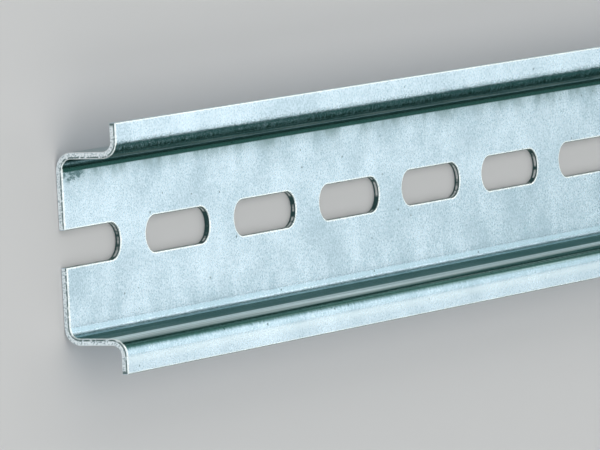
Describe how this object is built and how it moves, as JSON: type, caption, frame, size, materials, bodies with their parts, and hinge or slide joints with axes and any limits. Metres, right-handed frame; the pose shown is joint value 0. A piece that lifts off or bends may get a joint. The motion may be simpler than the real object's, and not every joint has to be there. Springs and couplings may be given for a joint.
{
  "type": "enclosure support rail",
  "caption": "Perforated top-hat rail of zinc-plated sheet steel: outward flanges take clip-on devices, and round-ended slots along the web bolt it into an enclosure.",
  "frame": {"origin": "on the floor under the middle of the web, at the back face of the web", "axes": "+X along the rail, +Y across it towards one flange, +Z out of the web's back towards the open front"},
  "size_m": [0.287, 0.035, 0.01],
  "materials": {
    "zinc": "bright zinc plating with a pale blue passivation, softly mottled, drawn streaks along the bends"
  },
  "bodies": {
    "root": {"rail": "zinc"}
  },
  "joints": []
}
